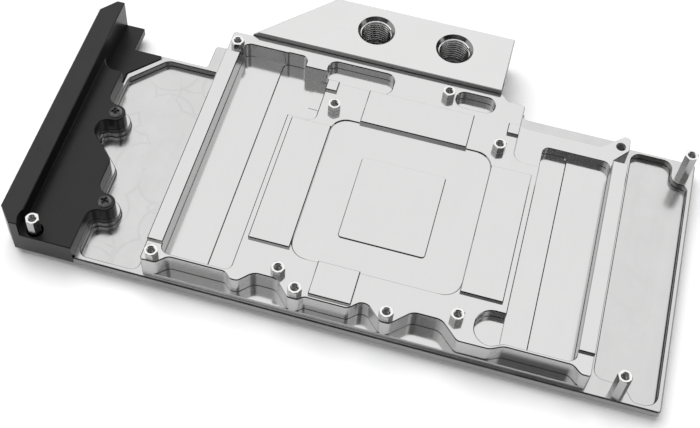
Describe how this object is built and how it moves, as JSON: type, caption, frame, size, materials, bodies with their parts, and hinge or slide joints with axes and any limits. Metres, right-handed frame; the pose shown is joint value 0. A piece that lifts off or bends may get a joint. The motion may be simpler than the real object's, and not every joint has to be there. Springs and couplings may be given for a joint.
{
  "type": "liquid cooling cold plate",
  "caption": "Flat liquid cooling cold plate for an expansion card: milled contact block on a wide cover plate, with a port terminal, standoffs and a black end cover.",
  "frame": {"origin": "on the cover's outer face, under the middle of the processor pad", "axes": "+X along the card away from the black end cover, +Y towards the port terminal, +Z out of the contact side"},
  "size_m": [0.2268, 0.1312, 0.0165],
  "materials": {
    "nickel_block": "satin nickel plating",
    "nickel_cover": "milled, nickel plated",
    "nickel_terminal": "satin nickel plating",
    "nickel_standoff": "turned, nickel plated",
    "steel_sheet": "plain sheet",
    "screw_steel": "plain",
    "gasket": "matte",
    "black_cover": "black anodised",
    "black_screw": "black oxide"
  },
  "bodies": {
    "root": {"cold_plate": "nickel_block", "cover_plate": "nickel_cover", "jet_plate": "steel_sheet", "perimeter_gasket": "gasket", "inlet_gasket": "gasket", "terminal_block": "nickel_terminal", "terminal_seal_inlet": "gasket", "terminal_seal_outlet": "gasket", "terminal_screws": "screw_steel", "cover_screws": "screw_steel", "end_cover": "black_cover", "end_cover_screw_rear": "black_screw", "end_cover_screw_front": "black_screw", "processor_standoff_front_left": "nickel_standoff", "processor_standoff_front_right": "nickel_standoff", "processor_standoff_rear_left": "nickel_standoff", "processor_standoff_rear_right": "nickel_standoff", "standoff_front_left": "nickel_standoff", "standoff_front_middle": "nickel_standoff", "standoff_front_right": "nickel_standoff", "standoff_rear_left": "nickel_standoff", "standoff_rear_middle": "nickel_standoff", "tall_standoff_left": "nickel_standoff", "tall_standoff_front": "nickel_standoff", "tall_standoff_rear": "nickel_standoff"}
  },
  "joints": []
}
